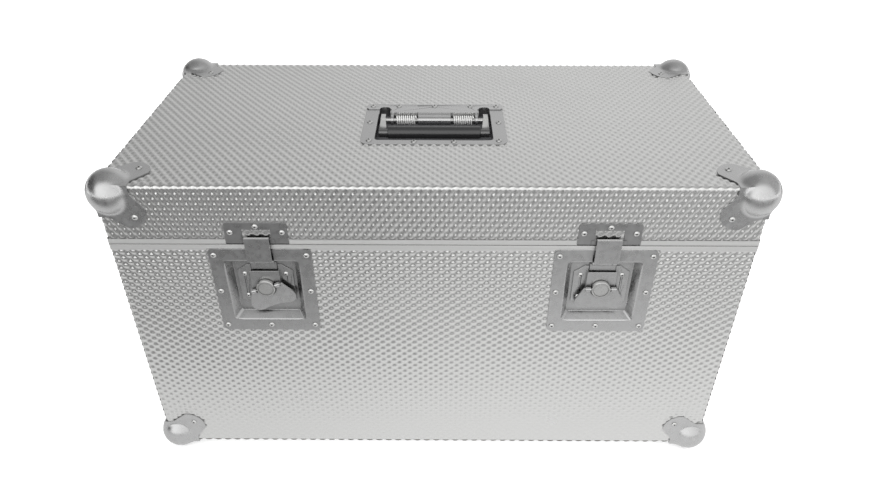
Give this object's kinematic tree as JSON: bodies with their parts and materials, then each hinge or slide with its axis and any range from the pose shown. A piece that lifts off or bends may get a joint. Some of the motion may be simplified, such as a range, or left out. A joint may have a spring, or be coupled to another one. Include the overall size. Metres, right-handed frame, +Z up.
{
  "type": "camera case",
  "caption": "Flight-style camera case with a foam-lined box clad in embossed aluminium, ball corners, recessed butterfly latches, a recessed top handle and a hinged lid.",
  "frame": {"origin": "on the ground under the middle of the case, where the balls of the lower corners stand", "axes": "+X along the case's length, to the right as seen from the latches; +Y from the latched front to the hinged back; +Z up"},
  "size_m": [0.652, 0.34, 0.372],
  "materials": {
    "embossed_sheet": "satin, embossed with staggered dots",
    "profile": "satin extrusion",
    "plated_steel": "zinc plated, satin",
    "rivet_steel": "plated, bright",
    "wire_steel": "drawn and ground",
    "grip": "moulded, slightly matte",
    "plywood": "plain birch plywood",
    "foam": "open-cell foam"
  },
  "bodies": {
    "base": {"base_corner_back_left": "plated_steel", "base_corner_back_right": "plated_steel", "base_corner_front_left": "plated_steel", "base_corner_front_right": "plated_steel", "base_foam": "foam", "base_hinge_leaf_left": "plated_steel", "base_hinge_leaf_right": "plated_steel", "base_panel_back": "plywood", "base_panel_bottom": "plywood", "base_panel_front": "plywood", "base_panel_left": "plywood", "base_panel_right": "plywood", "base_rim": "profile", "base_rivets": "rivet_steel", "base_skin": "embossed_sheet", "hinge_pins": "wire_steel", "latch_bracket_rivets": "rivet_steel", "left_latch_bracket": "plated_steel", "left_latch_dish": "plated_steel", "right_latch_bracket": "plated_steel", "right_latch_dish": "plated_steel"},
    "lid": {"handle_dish": "plated_steel", "handle_hinge_strip": "plated_steel", "handle_pin": "wire_steel", "handle_springs": "wire_steel", "left_keeper": "plated_steel", "lid_corner_back_left": "plated_steel", "lid_corner_back_right": "plated_steel", "lid_corner_front_left": "plated_steel", "lid_corner_front_right": "plated_steel", "lid_foam": "foam", "lid_hinge_leaf_left": "plated_steel", "lid_hinge_leaf_right": "plated_steel", "lid_panel_back": "plywood", "lid_panel_front": "plywood", "lid_panel_left": "plywood", "lid_panel_right": "plywood", "lid_panel_top": "plywood", "lid_rim": "profile", "lid_rivets": "rivet_steel", "lid_skin": "embossed_sheet", "right_keeper": "plated_steel"},
    "handle": {"handle_bail": "plated_steel", "handle_grip": "grip"},
    "left_key": {"left_latch_hub": "plated_steel", "left_latch_crank": "plated_steel", "left_latch_wing_pin": "wire_steel"},
    "left_wing": {"left_latch_wing": "plated_steel"},
    "left_draw": {"left_latch_drive_plate": "plated_steel", "left_latch_hook_pin": "wire_steel"},
    "left_hook": {"left_latch_hook": "plated_steel"},
    "right_key": {"right_latch_hub": "plated_steel", "right_latch_crank": "plated_steel", "right_latch_wing_pin": "wire_steel"},
    "right_wing": {"right_latch_wing": "plated_steel"},
    "right_draw": {"right_latch_drive_plate": "plated_steel", "right_latch_hook_pin": "wire_steel"},
    "right_hook": {"right_latch_hook": "plated_steel"}
  },
  "joints": [
    {"name": "lid_hinge", "type": "hinge", "parent": "base", "child": "lid", "pos_m": [0, 0.165, 0.2972], "axis": [-1, 0, 0], "range_deg": [0, 100]},
    {"name": "handle_lift", "type": "hinge", "parent": "lid", "child": "handle", "pos_m": [0, -0.0021, 0.3565], "axis": [-1, 0, 0], "range_deg": [0, 90], "stiffness_Nm_per_rad": 0.08, "springref_deg": -34.38},
    {"name": "left_key_turn", "type": "hinge", "parent": "base", "child": "left_key", "pos_m": [-0.17, -0.1584, 0.24255], "axis": [0, -1, 0], "range_deg": [-18.8, 161.2]},
    {"name": "left_wing_flip", "type": "hinge", "parent": "left_key", "child": "left_wing", "pos_m": [-0.17, -0.1584, 0.24255], "axis": [-0.9466, 0, -0.3223], "range_deg": [0, 90]},
    {"name": "left_draw_slide", "type": "slide", "parent": "base", "child": "left_draw", "axis": [0, 0, 1], "range_m": [-0.00068, 0.00582]},
    {"name": "left_hook_tilt", "type": "hinge", "parent": "left_draw", "child": "left_hook", "pos_m": [-0.17, -0.1554, 0.27423], "axis": [1, 0, 0], "range_deg": [-2.5, 20]},
    {"name": "right_key_turn", "type": "hinge", "parent": "base", "child": "right_key", "pos_m": [0.17, -0.1584, 0.24255], "axis": [0, -1, 0], "range_deg": [0, 180]},
    {"name": "right_wing_flip", "type": "hinge", "parent": "right_key", "child": "right_wing", "pos_m": [0.17, -0.1584, 0.24255], "axis": [-1, 0, 0], "range_deg": [0, 90]},
    {"name": "right_draw_slide", "type": "slide", "parent": "base", "child": "right_draw", "axis": [0, 0, 1], "range_m": [0, 0.0065]},
    {"name": "right_hook_tilt", "type": "hinge", "parent": "right_draw", "child": "right_hook", "pos_m": [0.17, -0.1554, 0.27355], "axis": [1, 0, 0], "range_deg": [-2.5, 20]}
  ],
  "couplings": [
    {"joint": "left_draw_slide", "follows": "left_key_turn", "m_per_rad": 0.002069},
    {"joint": "right_draw_slide", "follows": "right_key_turn", "m_per_rad": 0.002069}
  ]
}
